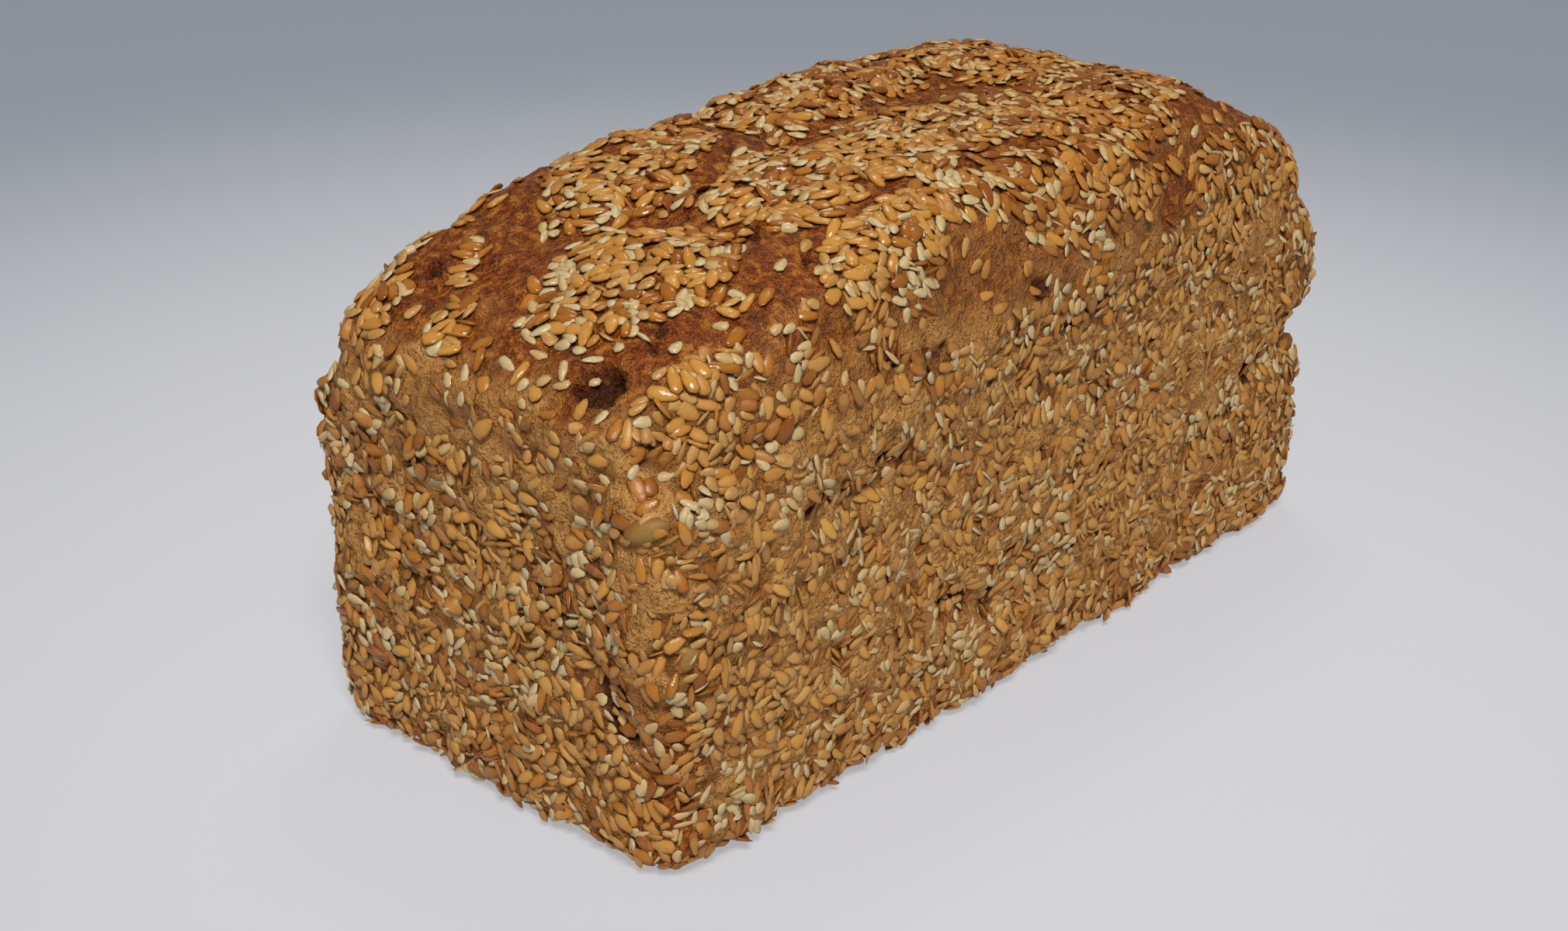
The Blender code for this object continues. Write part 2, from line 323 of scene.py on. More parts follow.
# Flour on the long walls, in mm: along, upwards, downwards and outwards
DUSTY_FROM = ((98, 76), (2, 12), (80, 66), (44, 46))
DUSTY_RAGGED = ((12, 17 * MM, 8.8),)
DUSTY_SUNK = 0.35 * MM  # how much deeper the dusty seeds are sunk
DUSTY_LESS_SHADE = 0.7  # how much less painted gap shade the floury dough between them takes
DUSTY_DULL = 0.6  # how much less they shine

# Larger grains set in the crust: place, length, width, thickness, turn in degrees
GRAINS = (
    ((-104.3, -40.6, 67.1), 8.0, 4.4, 3.2, 20),
    ((-99.3, -46.2, 43.4), 6.5, 4.0, 3.0, 60),
)
GRAIN = (0.12, 16, 10)  # how much a grain's tip narrows, its segments and its rings
GRAIN_SKIN = {"tone": 0.5, "toast": 0, "shine": 0.3}
GRAIN_GLOSS = 0.4
GRAIN_SHOWS = -0.25  # a grain's middle lies this share of its thickness above the crust

# The two seeds, as shares of their length: reach of the middle line each way, half width kept
# clear, width, thickness. Then how much the tip narrows, and the segments round it
LINSEED = (0.23, 0.26, 0.53, 0.22, 0.32, 8)
SESAME = (0.20, 0.29, 0.60, 0.24, 0.34, 6)
RIM_TONES = (0.0, 0.5)  # how brown a linseed's middle and rim are, the reverse of a sesame's
UNDERSIDE_SHADE = (0.35, 0.75)  # painted shade on the undersides of sesame and of linseeds
STRAYS = 0.06  # how thickly single seeds lie on the bare crust of the top's near end
SHOULDER_STRAYS = 0.4  # and on its shoulders, as a share of that
STRAYS_FROM = (-96 * MM, -103 * MM)
ISLAND_FROM = (1.25, 0.8)  # as shares of its size
RAGGED = ((0.28, 5 * MM, 3.7), (0.12, 2.2 * MM, 9.1))  # unevenness of the seeds' cover
TORN = 0.6  # how bare the valleys of the top are
TORN_FROM = (0.9 * MM, 1.6 * MM)
CRACKED = 0.8  # and the cracks
CRACKED_FROM = (0.7 * MM, 1.6 * MM)
END_FROM = (-100 * MM, -105 * MM)
END_THINNED = ((0.42, 50, 60), (0.12, 60, 70))  # share of its seeds missing between two heights
COVERED_FROM = (0.3, 0.7)

SEED_STAND = 0.6 * MM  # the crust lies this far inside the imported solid's box
BASE_GAP = 0.5 * MM  # and this far above its base, for seeds that lie flush underneath
FLOOR_GAP = 0.05 * MM  # no seed lies lower
BASE_COVER = 0.45  # how thickly they lie underneath

# Layers of seeds: how close two may lie, as a share of their half widths together, how far they
# lie above the crust, and the share of all seeds
LAYERS = (
    (0.62, 0.30 * MM, 0.28),
    (0.60, 0.24 * MM, 0.28),
    (0.52, 0.16 * MM, 0.22),
    (0.34, 0.00 * MM, 0.22),
)
LENS_POWER = 0.5  # how much a seed thins towards its rim
SINK_SPREAD = 0.7 * MM  # how unevenly the walls' seeds are sunk in the dough
SINK_LUMPS = (6 * MM, 1.9)
SINK_JITTER = 0.6  # share of that by which a seed differs from those beside it
TRIES = 6  # places drawn for each seed
TURNS_TRIED = 5  # and turns tried at each place
WALL_TILT = 13  # spread of the seeds' tilt, in degrees
TOP_TILT = 7
UNDER_TILT = 2
EDGE_SHARE = 0.15  # share of the seeds that stand on edge
EDGE_LEAN = 0.45  # how far they lean out
EDGE_SUNK = 0.35 * MM
TOP_FLATTER = 0.7  # how many fewer of them the top has
HEAPED = 0.5 * MM  # seeds on the top are heaped up to this much higher
UNDER_LIFT = -0.1 * MM
SIZE_SPREAD = 0.12
SIZE_RANGE = (0.75, 1.35)
TOP_LARGER = 0.1  # how much larger the top's seeds are
TOP_TOASTED = 0.47  # share of the top's linseeds that is toasted, and of its sesame that is pale
TOP_PALE = 0.58
PATCHINESS = ((1.1, 13 * MM, 11.3),)  # how far seeds of one kind keep together
FAR_TOASTED = 0.9  # how much browner the top's seeds are towards the far end
FAR_FROM = (-40 * MM, 40 * MM)
WALL_TOAST, TOP_TOAST = 0.3, 0.5  # the most a seed is browned at random, and more on the top
WALL_SHINE, TOP_SHINE = 0.7, 0.9
CORNER_SHINE = 0.5  # how much more the near corner's seeds shine
RANDOM_SEED = 7

# Noises of the materials: scale, detail, roughness
CRUST_NOISES = ((950, 3, 0.65), (2300, 2, 0.6), (130, 4, 0.6), (430, 3, 0.6))
MOTTLE_NOISE = (1400, 2, 0.5)
FLOUR_NOISE = (200, 3, 0.6)
BEAD_SCALE = 1300

FLOOR_SIZE = 8
FLOOR_GLOW = 0.6  # share of the floor's light that it gives off itself: a painted glow from below
FLOOR_GLOW_LEVEL = 0.85
FLOOR_FADE_FROM = (0.11, 0.51)  # where the painted pool of light fades, from the loaf's middle
LIGHTS = (  # name, place, size and share of the key light's power
    ("key_light", (-0.61, -0.577, 1.051), 0.4, 1.0),
    ("top_light", (0.30, 0.25, 0.95), 0.25, 0.10),
)
LOAF_MIDDLE = Vector((0, 0, 0.05))
FILL_COLOUR = (1.0, 0.93, 0.84, 1)
CAMERA_PLACE = Vector((-0.31996, -0.25562, 0.21709))
CAMERA_ANGLES = (24.494, 40.876, 0.740)  # downwards, turned from +X towards +Y, and rolled
CAMERA_LENS = 49.785
SENSOR = 36


def colour_property(name, description, *rgb):
    """A colour of the finish, as linear red, green and blue, for the sidebar."""
    return FloatVectorProperty(
        name=name, description=description, subtype="COLOR", size=4, default=(*rgb, 1)
    )


class CrustSettings(PropertyGroup):
    cell: FloatProperty(
        name="Mesh Cell",
        description="Side of one face of the crust",
        default=0.94 * MM,
        min=0.5 * MM,
        unit="LENGTH",
    )
    baked: colour_property("Baked Crust", "Colour of the dark, glossy top", 0.235, 0.045, 0.002)
    # also the painted shade in hollows, cracks and folds, besides the real scorched specks
    scorched_and_hollow_shade: colour_property("Scorched Crust", "Darkest specks and hollows", 0.08, 0.015, 0.002)
    # painted shade between tightly packed seeds, not a colour of the crust itself
    gap: colour_property("Painted Gap Shade", "Crust between tightly packed seeds", 0.13, 0.036, 0.004)
    # painted shade deep inside the burst blisters
    hollow: colour_property("Painted Hollow Shade", "Deep inside burst blisters", 0.02, 0.006, 0.002)
    amber: colour_property("Amber Grain", "Lighter grains in the baked crust", 0.42, 0.145, 0.018)
    dough: colour_property(
        "Pale Dough", "Colour of the floury crust on the walls", 0.60, 0.300, 0.082
    )
    # also the painted shade in the crumb's low places, besides the real bran
    bran_and_low_shade: colour_property("Bran", "Brown bran in the pale dough", 0.27, 0.095, 0.014)


class SeedSettings(PropertyGroup):
    linseed_length: FloatProperty(
        name="Linseed Length", description="Middle length", default=4.6 * MM, unit="LENGTH"
    )
    sesame_length: FloatProperty(
        name="Sesame Length", description="Middle length", default=3.35 * MM, unit="LENGTH"
    )
    most_linseeds: IntProperty(name="Linseeds", description="Most linseeds", default=8200)
    most_sesame: IntProperty(name="Sesame", description="Most sesame seeds", default=10800)
    toasted_share: FloatProperty(
        name="Toasted",
        description="Share of the linseeds that is toasted brown",
        subtype="FACTOR",
        default=0.51,
        min=0,
        max=1,
    )
    pale_share: FloatProperty(
        name="Pale",
        description="Share of the sesame that is pale",
        subtype="FACTOR",
        default=0.52,
        min=0,
        max=1,
    )
    golden: colour_property("Golden Linseed", "Colour of the golden linseeds", 0.555, 0.273, 0.054)
    toasted: colour_property(
        "Toasted Linseed", "Colour of the toasted linseeds", 0.43, 0.168, 0.023
    )
    # also the painted shade on the seeds' undersides
    burnt_and_underside_shade: colour_property(
        "Burnt Seed", "Colour that the darkest seeds turn to", 0.22, 0.060, 0.005
    )
    pale: colour_property("Pale Sesame", "Colour of the palest sesame", 0.60, 0.505, 0.29)
    tan: colour_property("Tan Sesame", "Colour of the toasted sesame", 0.53, 0.320, 0.105)
    dust: colour_property(
        "Flour Dust", "Colour of the flour on the walls' seeds", 0.52, 0.297, 0.078
    )
    grain: colour_property("Grain", "Colour of the larger grains", 0.30, 0.165, 0.035)


class StageSettings(PropertyGroup):
    floor: colour_property("Floor", "Colour of the floor near the loaf", 0.72, 0.725, 0.76)
    # the floor fades to this colour away from the loaf, a painted fall-off of light
    backdrop_shade: colour_property(
        "Backdrop Shade", "Colour of the floor far behind the loaf", 0.35, 0.385, 0.44
    )
    key_power: FloatProperty(
        name="Key Light", description="Power of the main light", default=14.3, unit="POWER"
    )
    fill_strength: FloatProperty(
        name="Fill", description="Strength of the light from all round", default=0.2
    )


# Form


def superellipse_reach(u, v, power_x, power_y):
    """How far each direction (u, v) goes before |x|^power_x + |y|^power_y reaches 1."""
    low, high = np.full(len(u), LEAST_REACH), np.ones(len(u))
    for _ in range(HALVINGS):
        reach = (low + high) / 2
        outside = np.abs(reach * u) ** power_x + np.abs(reach * v) ** power_y > 1
        high = np.where(outside, reach, high)
        low = np.where(outside, low, reach)
    return low


def blend_powers(share, wall, dome):
    """Exponents between the wall's and the dome's, eased, so that the corner opens smoothly."""
    eased = share * share * (3 - 2 * share)
    return 1 / ((1 - eased) / wall + eased / dome)


def dome_power(u):
    return np.where(u < 0, DOME_NEAR, DOME_FAR)


def wall_points(u, v, w):
    """Points of the walls: w runs from -1 at the base to 1 at the shoulder."""
    height = ((w + 1) / 2) ** BASE_CROWDING
    opened = np.clip((height - CORNERS_OPEN_FROM) / (1 - CORNERS_OPEN_FROM), 0, 1)
    power_x = blend_powers(opened, WALL_CORNER, dome_power(u))
    power_y = blend_powers(opened, WALL_CORNER, DOME_SIDE)
    reach = superellipse_reach(u, v, power_x, power_y)
    z = height * SHOULDER
    below = np.maximum(0, BASE_ROUND - z)
    inset = WALL_DRAFT * (1 - height) + BASE_ROUND - np.sqrt(BASE_ROUND**2 - below**2)
    x = u * reach * (LENGTH / 2 - inset)
    y = v * reach * (WIDTH / 2 - inset)
    return np.stack([x, y, z], axis=1)


def dome_points(u, v):
    """Points of the domed top."""
    ring = np.maximum(np.maximum(np.abs(u), np.abs(v)), 1e-6)
    power_x = dome_power(u)
    reach = superellipse_reach(u / ring, v / ring, power_x, DOME_SIDE)
    crowded = 1 - (1 - ring) ** RIM_CROWDING
    x, y = u / ring * reach * crowded, v / ring * reach * crowded
    filled = np.minimum(1, np.abs(x) ** power_x + np.abs(y) ** DOME_SIDE)
    z = SHOULDER + (HEIGHT - SHOULDER) * (1 - filled) ** DOME_FULLNESS
    return np.stack([x * LENGTH / 2, y * WIDTH / 2, z], axis=1)


def loaf_points(cube):
    """The smooth loaf's point for each point of a cube from -1 to 1."""
    u, v, w = cube.T
    points = wall_points(u, v, w)
    on_top = w > ON_FACE
    points[on_top] = dome_points(u[on_top], v[on_top])
    return points


def distance_to_segment(points, start, end):
    """Distance from each point to the straight line between two others."""
    start, end = np.array(start, float), np.array(end, float)
    run = end - start
    share = np.clip((points - start) @ run / (run @ run), 0, 1)
    return np.linalg.norm(points - start - share[:, None] * run, axis=1)


def hollow(distance, half_width):
    """1 in the middle of a groove, falling smoothly to 0."""
    return np.exp(-((distance / half_width) ** 2))


def lumpiness(points, size, shift=0.0):
    """Smooth noise, about -0.5 to 0.5, with lumps of one size."""
    return np.array([noise.noise(place) for place in (points / size + shift).tolist()])


def unevenness(points, lumps):
    """Lumps of several sizes added up."""
    return sum(height * lumpiness(points, *lump) for height, *lump in lumps)


def in_ellipse(points, x, y, half_length, half_width, turn):
    """Distance from an ellipse's middle seen from above, where 1 is its edge."""
    cos, sin = math.cos(math.radians(turn)), math.sin(math.radians(turn))
    dx, dy = points[:, 0] / MM - x, points[:, 1] / MM - y
    along, across = dx * cos + dy * sin, dy * cos - dx * sin
    return np.hypot(along / half_length, across / half_width)


def in_ellipsoid(points, centre, radii):
    """Distance from an ellipsoid's middle, where 1 is its surface."""
    return np.linalg.norm((points / MM - np.array(centre)) / np.array(radii), axis=1)


def smooth_step(low, high, value):
    share = np.clip((value - low) / (high - low), 0, 1)
    return share * share * (3 - 2 * share)


def rise_between(steps, height):
    """Shares that each rise smoothly between two heights in mm, added up."""
    return sum(share * smooth_step(low * MM, high * MM, height) for share, low, high in steps)


def groove_depth(points, grooves):
    """Depth of straight grooves at each point, in metres."""
    depth = np.zeros(len(points))
    for start, end, half, deep in grooves:
        depth += deep * MM * hollow(distance_to_segment(points / MM, start, end), half)
    return depth


def crack_depth(points):
    """Depth of the narrow cracks: they wander, and open and close along their length."""
    wander = CRACK_WANDER * np.stack([lumpiness(points, 6 * MM, k) for k in (1.3, 4.9, 8.2)], 1)
    uneven = CRACK_DEEPER + unevenness(points, CRACK_UNEVEN)
    return groove_depth(points + wander, CRACKS) * uneven


def valley_depth(points):
    """Depth of the valleys across the top, in metres."""
    return np.where(points[:, 2] > SHOULDER, groove_depth(points[:, :2], VALLEYS), 0)


def main_relief(points):
    """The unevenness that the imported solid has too: lumps, folds, swellings and valleys."""
    rise = unevenness(points, LUMPS)
    for centre, radius, height in SWELLINGS:
        distance = np.linalg.norm(points / MM - np.array(centre), axis=1)
        rise += height * MM * hollow(distance, radius)
    return rise - groove_depth(points, FOLDS) - valley_depth(points)


def blister_depth(points):
    """Depth of the burst blisters in metres: a steep hollow, with a thin raised lip round it."""
    depth = np.zeros(len(points))
    on_top = points[:, 2] > SHOULDER
    ragged = unevenness(points, BLISTER_RAGGED)
    height, place, width = BLISTER_LIP
    for *ellipse, deep in BLISTERS:
        edge = in_ellipse(points, *ellipse) + ragged
        pit = BLISTER_DEEPER * deep * smooth_step(*BLISTER_FROM, edge)
        lip = height * np.exp(-(((edge - place) / width) ** 2))
        depth += np.where(on_top, pit - lip, 0) * MM
    return depth


def top_share(points):
    """1 on the domed top and 0 on the walls."""
    return smooth_step(SHOULDER - 2 * MM, SHOULDER + 4 * MM, points[:, 2])


def island_cover(points):
    """1 inside the islands of seeds on the top and its shoulders, and 0 between them."""
    out = np.abs(points[:, 1]) + HEIGHT - points[:, 2]
    mirrored = np.where(points[:, 1] < 0, points[:, 0], -points[:, 0])
    unrolled = np.stack([mirrored, out], axis=1)
    on_shoulder = smooth_step(-2 * MM, 2 * MM, np.abs(points[:, 1]) - SHOULDER_FROM * MM)
    strays = smooth_step(*STRAYS_FROM, points[:, 0]) + SHOULDER_STRAYS * on_shoulder
    cover = STRAYS * np.minimum(1, strays)
    for islands, flat, share in (
        (ISLANDS, points, 1 - on_shoulder),
        (SHOULDER_ISLANDS, unrolled, on_shoulder),
    ):
        for island in islands:
            inside = smooth_step(*ISLAND_FROM, in_ellipse(flat, *island)) * share
            cover = np.maximum(cover, inside)
    return cover


def seed_cover(points):
    """How thickly the seeds lie at each point: 1 packed, 0 bare."""
    torn = smooth_step(*TORN_FROM, valley_depth(points))
    top = island_cover(points) * (1 - TORN * torn)
    near_end = smooth_step(*END_FROM, points[:, 0])
    z = points[:, 2]
    wall = 1 - rise_between(END_THINNED, z) * near_end
    on_top = top_share(points)
    share = on_top * top + (1 - on_top) * wall
    for *ellipse, _ in BLISTERS:
        edge = in_ellipse(points, *ellipse)
        share *= np.where(z > SHOULDER, smooth_step(*BLISTER_SEEDS_FROM, edge), 1)
    share *= 1 - CRACKED * smooth_step(*CRACKED_FROM, crack_depth(points))
    for centre, radii, bare in BARE_PATCHES:
        share *= 1 - bare * smooth_step(*BARE_FROM, in_ellipsoid(points, centre, radii))
    ragged = share + unevenness(points, RAGGED)
    return np.maximum(smooth_step(*COVERED_FROM, ragged), share.clip(0, STRAYS))


def dustiness(points):
    """1 in the middle of the long walls, where seeds are sunk in floury dough, 0 elsewhere."""
    x, y, z = np.abs(points / MM).T
    patchy = unevenness(points, DUSTY_RAGGED)
    along, up, down, out = DUSTY_FROM
    height = smooth_step(*up, z + patchy) * smooth_step(*down, z + patchy)
    return smooth_step(*along, x + patchy) * height * smooth_step(*out, y)


def browning(points, uneven=0):
    """How brown the crust has caught in the browned patches."""
    browned = np.zeros(len(points))
    for centre, radii, brown in BROWNED:
        inside = smooth_step(*BROWNED_FROM, in_ellipsoid(points, centre, radii) - uneven)
        browned = np.maximum(browned, brown * inside)
    return browned


def bakedness(points):
    """How dark the oven has turned the crust: 1 on the top, 0 on the walls."""
    uneven = unevenness(points, BAKED_UNEVEN)
    baked = rise_between(BAKED_STEPS, points[:, 2] + BAKED_RAGGED * uneven)
    baked *= 1 - SIDE_PALER * smooth_step(*SIDE_PALER_FROM, np.abs(points[:, 1]))
    return np.maximum(baked, browning(points, uneven))


# Meshes


def unit(vectors):
    """The same directions, one long."""
    return vectors / np.linalg.norm(vectors, axis=1)[:, None]


def read(items, field, width, kind=float):
    """One field of every item, as the rows of an array."""
    values = np.empty(len(items) * width, kind)
    items.foreach_get(field, values)
    return values.reshape(-1, width)


def read_points(mesh):
    return read(mesh.vertices, "co", 3)


def read_normals(mesh):
    return read(mesh.vertices, "normal", 3)


def write_points(mesh, points):
    mesh.vertices.foreach_set("co", np.asarray(points, np.float32).ravel())
    mesh.update()


def keep_values(mesh, **values):
    """Stores numbers, one a vertex, which the piece's material reads by name."""
    for name, numbers in values.items():
        layer = mesh.attributes.new(name, "FLOAT", "POINT")
        layer.data.foreach_set("value", np.asarray(numbers, np.float32))


def keep_directions(mesh, name, vectors):
    layer = mesh.attributes.new(name, "FLOAT_VECTOR", "POINT")
    layer.data.foreach_set("vector", np.asarray(vectors, np.float32).ravel())


def read_kept(mesh, name):
    """What keep_values or keep_directions stored."""
    layer = mesh.attributes[name]
    if layer.data_type == "FLOAT":
        return read(layer.data, "value", 1)[:, 0]
    return read(layer.data, "vector", 3)


def select_only(mesh, kind, chosen):
    """Selects the chosen vertices, edges or polygons, and nothing else."""
    for name in ("vertices", "edges", "polygons"):
        items = getattr(mesh, name)
        items.foreach_set("select", chosen if name == kind else np.zeros(len(items), bool))


def smooth_shading(mesh):
    mesh.polygons.foreach_set("use_smooth", np.ones(len(mesh.polygons), bool))


def new_piece(name, points, faces, values, material):
    """A smooth piece from its points and faces, with the numbers that its material reads."""
    mesh = bpy.data.meshes.new(name)
    mesh.from_pydata(points, [], faces)
    smooth_shading(mesh)
    keep_values(mesh, **values)
    mesh.materials.append(material)
    piece = bpy.data.objects.new(name, mesh)
    bpy.context.collection.objects.link(piece)
    return piece


def select_edges_along(mesh, axis):
    """Selects the edges that run straight along one axis."""
    points = read_points(mesh)
    ends = read(mesh.edges, "vertices", 2, np.int32)
    run = np.abs(points[ends[:, 1]] - points[ends[:, 0]])
    select_only(mesh, "edges", run[:, axis] > MOSTLY * run.sum(axis=1))


def slice_along(loaf, axis, count):
    """Cuts the cube into equal slices across one axis, first coarsely and then finely."""
    bpy.context.tool_settings.mesh_select_mode = (False, True, False)
    for slices in (COARSE_SLICES, round(count / COARSE_SLICES)):
        select_edges_along(loaf.data, axis)
        bpy.ops.object.mode_set(mode="EDIT")
        bpy.ops.mesh.subdivide(number_cuts=slices - 1)
        bpy.ops.object.mode_set(mode="OBJECT")


def clear_base(loaf):
    """Joins the faces of the base, which is flat, into one."""
    mesh = loaf.data
    select_only(mesh, "polygons", read(mesh.polygons, "normal", 3)[:, 2] < -MOSTLY)
    bpy.context.tool_settings.mesh_select_mode = (False, False, True)
    bpy.ops.object.mode_set(mode="EDIT")
    bpy.ops.mesh.dissolve_faces()
    bpy.ops.object.mode_set(mode="OBJECT")


def place_in_box(points, low, high):
    """Scales and moves points so that they just fill a box."""
    least, most = points.min(axis=0), points.max(axis=0)
    return low + (points - least) * (high - low) / (most - least)


# Materials


class Nodes:
    """A short way to add nodes to a material and join them."""

    def __init__(self, name):
        self.material = bpy.data.materials.new(name)
        self.material.use_nodes = True
        self.tree = self.material.node_tree
        self.shader = self.tree.nodes["Principled BSDF"]
        self.place = self.tree.nodes.new("ShaderNodeTexCoord").outputs["Object"]

    def join(self, value, socket):
        """Links a node's socket into another, or sets a plain value on it."""
        if isinstance(value, bpy.types.NodeSocket):
            self.tree.links.new(value, socket)
        else:
            socket.default_value = value

    def add(self, kind, inputs=(), **settings):
        node = self.tree.nodes.new(kind)
        for name, value in settings.items():
            setattr(node, name, value)
        for key, value in dict(inputs).items():
            self.join(value, node.inputs[key])
        return node

    def value(self, name):
        """The piece's own number of that name, at each vertex."""
        return self.add("ShaderNodeAttribute", attribute_name=name).outputs["Fac"]

    def noise(self, scale, detail, roughness):
        inputs = {"Vector": self.place, "Scale": scale, "Detail": detail, "Roughness": roughness}
        return self.add("ShaderNodeTexNoise", inputs).outputs["Fac"]

    def cells(self, scale):
        inputs = {"Vector": self.place, "Scale": scale}
        return self.add("ShaderNodeTexVoronoi", inputs).outputs["Distance"]

    def math(self, operation, first, second):
        inputs = {0: first, 1: second}
        return self.add("ShaderNodeMath", inputs, operation=operation).outputs[0]

    def remap(self, value, low, high, to_low=0.0, to_high=1.0):
        inputs = {0: value, 1: low, 2: high, 3: to_low, 4: to_high}
        node = self.add("ShaderNodeMapRange", inputs, interpolation_type="SMOOTHSTEP")
        return node.outputs[0]

    def mix(self, share, first, second):
        """Mixes two colours, whose sockets come after those for numbers and vectors."""
        inputs = {0: share, 6: first, 7: second}
        return self.add("ShaderNodeMix", inputs, data_type="RGBA").outputs[2]

    def bump(self, height, distance, strength, normal=None):
        inputs = {"Height": height, "Distance": distance, "Strength": strength}
        if normal is not None:
            inputs["Normal"] = normal
        return self.add("ShaderNodeBump", inputs).outputs["Normal"]

    def finish(self, **inputs):
        for name, value in inputs.items():
            self.join(value, self.shader.inputs[name.replace("_", " ")])
        return self.material


def crust_material(look):
    """Grainy crust: dark, speckled and glossy where baked, tan and floury on the walls."""
    # painted shade darkens its hollows, its low places and the gaps between packed seeds
    nodes = Nodes("crust")
    baked, sunk = nodes.value("baked"), nodes.value("sunk")
    grain, specks, blotches, spots = (nodes.noise(*settings) for settings in CRUST_NOISES)
    beads = nodes.cells(BEAD_SCALE)
    dark = nodes.mix(nodes.remap(blotches, 0.25, 0.5, 0.2, 1), look.scorched_and_hollow_shade, look.baked)
    dark = nodes.mix(nodes.remap(spots, 0.52, 0.62, 0, 1.0), dark, look.amber)
    dark = nodes.mix(nodes.remap(spots, 0.46, 0.38, 0, 0.8), dark, look.scorched_and_hollow_shade)
    dark = nodes.mix(nodes.remap(grain, 0.5, 0.66, 0, 0.6), dark, look.amber)
    dark = nodes.mix(nodes.remap(grain, 0.46, 0.34, 0, 0.45), dark, look.scorched_and_hollow_shade)
    dark = nodes.mix(nodes.remap(specks, 0.58, 0.72, 0, 0.7), dark, look.amber)
    pale = nodes.mix(nodes.remap(grain, 0.36, 0.58, 0.5, 1), look.bran_and_low_shade, look.dough)
    pale = nodes.mix(nodes.remap(spots, 0.36, 0.5, 0.5, 0), pale, look.bran_and_low_shade)
    # painted shade in the crumb's low places
    pale = nodes.mix(nodes.math("MULTIPLY", nodes.value("low"), 0.75), pale, look.bran_and_low_shade)
    # painted shade in the crust where the seeds lie packed
    pale = nodes.mix(nodes.math("MULTIPLY", nodes.value("packed"), 0.48), pale, look.gap)
    edge = nodes.math("ADD", baked, nodes.math("SUBTRACT", grain, 0.5))
    colour = nodes.mix(nodes.remap(edge, 0.1, 0.9), pale, dark)
    # painted shade in the hollows, cracks, folds and burst blisters
    colour = nodes.mix(nodes.remap(sunk, 0, 0.6, 0, 0.8), colour, look.scorched_and_hollow_shade)
    colour = nodes.mix(nodes.remap(sunk, 0.7, 1, 0, 0.5), colour, look.hollow)
    shine = nodes.remap(specks, 0.45, 0.62, 0.45, 0.1)
    rough = nodes.add("ShaderNodeMix", {0: baked, 2: 0.8, 3: shine}).outputs[0]
    bumpy = nodes.bump(spots, 1.2 * MM, 0.8)
    bumpy = nodes.bump(grain, 1.1 * MM, 0.9, bumpy)
    bumpy = nodes.bump(nodes.math("SUBTRACT", 0.7, beads), 0.5 * MM, 0.7, bumpy)
    bumpy = nodes.bump(specks, 0.4 * MM, 0.8, bumpy)
    return nodes.finish(
        Base_Color=colour, Roughness=rough, Normal=bumpy, Specular_IOR_Level=0.26
    )


def seed_material(name, colours, gloss, rim_browned):
    """A seed's skin: its tone differs from seed to seed, and its rim or its middle is browner.

    The colours are the skin's, its browner tone, its flour and its underside's painted shade."""
    colour, brown, dust, shade = colours
    nodes = Nodes(name)
    tone, rim, shine = nodes.value("tone"), nodes.value("rim"), nodes.value("shine")
    skin = nodes.mix(nodes.remap(tone, 0.5, 1.0, 0, 0.8), colour, brown)
    ring = nodes.remap(rim, 0.5, 0.95, *(RIM_TONES if rim_browned else RIM_TONES[::-1]))
    skin = nodes.mix(ring, skin, brown)
    skin = nodes.mix(nodes.math("MULTIPLY", nodes.value("toast"), 0.7), skin, brown)
    mottle = nodes.noise(*MOTTLE_NOISE)
    skin = nodes.mix(nodes.remap(mottle, 0.5, 0.8, 0, 0.35), skin, brown)
    floury = nodes.remap(nodes.noise(*FLOUR_NOISE), 0.45, 0.62, 0.0, 0.45)
    floury = nodes.math("ADD", floury, nodes.math("MULTIPLY", nodes.value("dusty"), 0.22))
    floury = nodes.math("MULTIPLY", floury, nodes.remap(shine, 0, 0.6, 1, 0))
    skin = nodes.mix(floury, skin, dust)
    # painted shade on the seed's underside
    under = nodes.math("MULTIPLY", nodes.value("under"), UNDERSIDE_SHADE[rim_browned])
    skin = nodes.mix(under, skin, shade)
    rough = nodes.remap(shine, 0, 1, 0.6, gloss)
    bumpy = nodes.bump(mottle, 0.15 * MM, 0.6)
    return nodes.finish(
        Base_Color=skin, Roughness=rough, Normal=bumpy, Specular_IOR_Level=0.38
    )


# Crust


